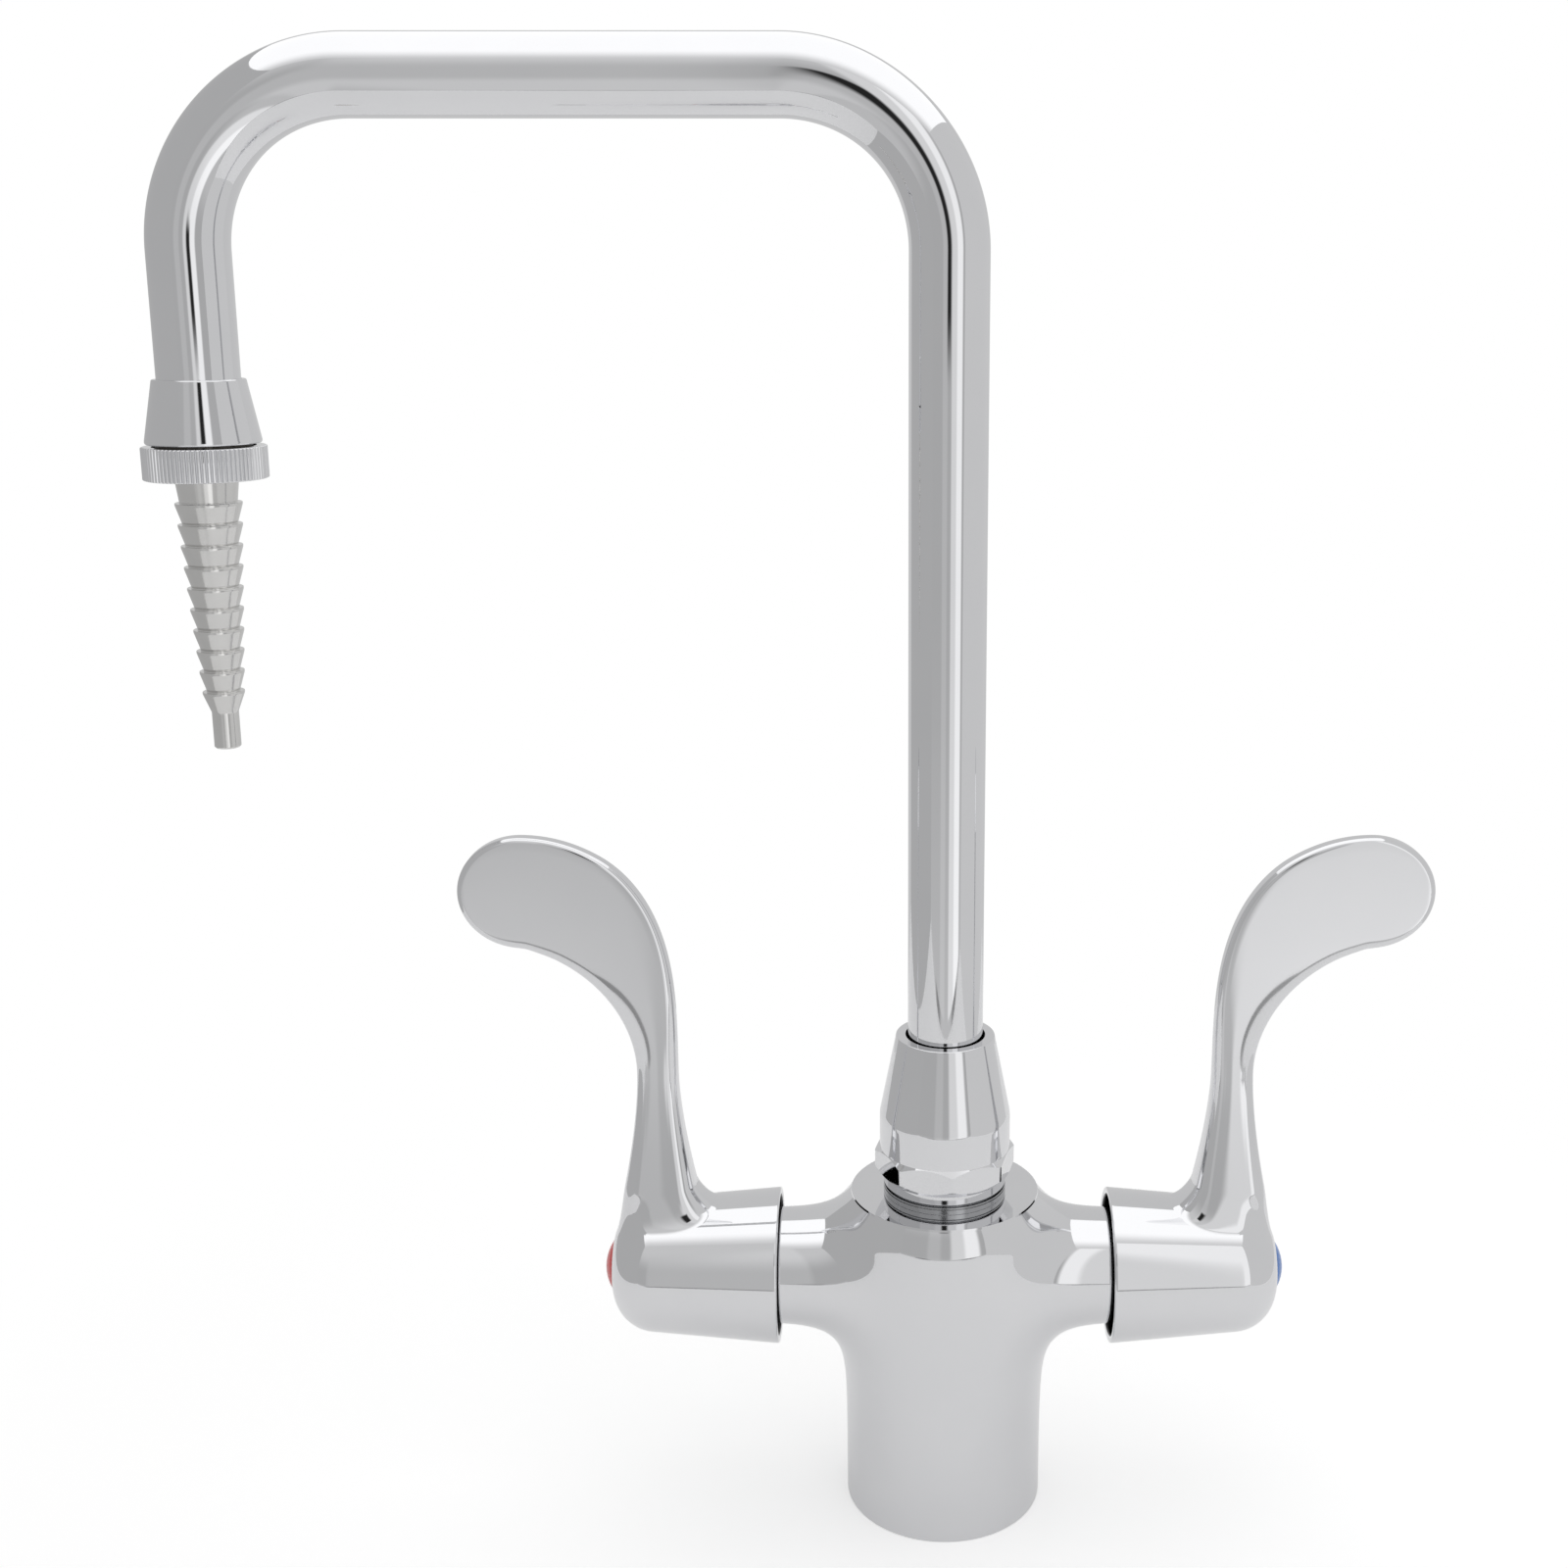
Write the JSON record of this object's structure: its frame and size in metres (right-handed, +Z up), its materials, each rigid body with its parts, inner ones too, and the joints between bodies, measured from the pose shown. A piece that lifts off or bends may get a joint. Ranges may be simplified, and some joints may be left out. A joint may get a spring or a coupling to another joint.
{
  "type": "laboratory mixer tap",
  "caption": "Deck-mounted laboratory mixer tap: round column with side valves and wrist-blade handles, swivelling square-bent spout and a serrated hose nozzle.",
  "frame": {"origin": "centre of the deck face, on the riser's axis", "axes": "+Z up along the riser, +X from the hot valve to the cold valve, the spout at rest over -X, the user on the -Y side"},
  "size_m": [0.3125, 0.051, 0.3699],
  "materials": {
    "chrome_plate": "polished chrome plate on brass",
    "chrome_tube": "polished chrome plate on drawn tube",
    "dull_plate": "thin plate over a turned thread",
    "turned_nozzle": "turned, lightly plated",
    "black_rubber": "matte",
    "white_nylon": "matte",
    "bare_brass": "machined",
    "red_fibre": "pressed fibre",
    "white_ceramic": "lapped",
    "plain_steel": "bright",
    "red_index": "gloss",
    "blue_index": "gloss"
  },
  "bodies": {
    "tap_body": {"body_casting": "chrome_plate", "base_gasket": "black_rubber", "spout_spud": "dull_plate", "spud_o_ring": "black_rubber", "lower_thrust_washer": "white_nylon", "upper_thrust_washer": "white_nylon", "riser_nut": "chrome_plate", "hot_cartridge_body": "bare_brass", "hot_cartridge_gasket": "red_fibre", "hot_seat_seal": "black_rubber", "hot_fixed_disc": "white_ceramic", "cold_cartridge_body": "bare_brass", "cold_cartridge_gasket": "red_fibre", "cold_seat_seal": "black_rubber", "cold_fixed_disc": "white_ceramic"},
    "hot_lever": {"hot_turning_disc": "white_ceramic", "hot_spindle": "bare_brass", "hot_stem_o_ring": "black_rubber", "hot_spindle_clip": "plain_steel", "hot_handle": "chrome_plate", "hot_handle_screw": "plain_steel", "hot_index_button": "red_index"},
    "cold_lever": {"cold_turning_disc": "white_ceramic", "cold_spindle": "bare_brass", "cold_stem_o_ring": "black_rubber", "cold_spindle_clip": "plain_steel", "cold_handle": "chrome_plate", "cold_handle_screw": "plain_steel", "cold_index_button": "blue_index"},
    "spout": {"spout_tube": "chrome_tube", "swivel_sleeve": "bare_brass", "swivel_o_rings": "black_rubber", "outlet_collar": "chrome_plate"},
    "nozzle": {"nozzle_washer": "black_rubber", "serrated_nozzle": "turned_nozzle"},
    "knurled_ring": {"coupling_ring": "chrome_plate"}
  },
  "joints": [
    {"name": "spout_swivel", "type": "hinge", "parent": "tap_body", "child": "spout", "pos_m": [0, 0, 0.1], "axis": [0, 0, 1], "continuous": true},
    {"name": "hot_lever_turn", "type": "hinge", "parent": "tap_body", "child": "hot_lever", "pos_m": [-0.06, 0, 0.0643], "axis": [1, 0, 0], "range_deg": [0, 90]},
    {"name": "cold_lever_turn", "type": "hinge", "parent": "tap_body", "child": "cold_lever", "pos_m": [0.06, 0, 0.0643], "axis": [1, 0, 0], "range_deg": [0, 90]},
    {"name": "nozzle_drop", "type": "slide", "parent": "spout", "child": "nozzle", "axis": [0, 0, -1], "range_m": [0, 0.0024]},
    {"name": "ring_turn", "type": "hinge", "parent": "nozzle", "child": "knurled_ring", "pos_m": [-0.1764, 0, 0.272], "axis": [0, 0, -1], "range_deg": [0, 920]}
  ],
  "couplings": [
    {"joint": "ring_turn", "follows": "nozzle_drop", "rad_per_m": 6677.4}
  ]
}
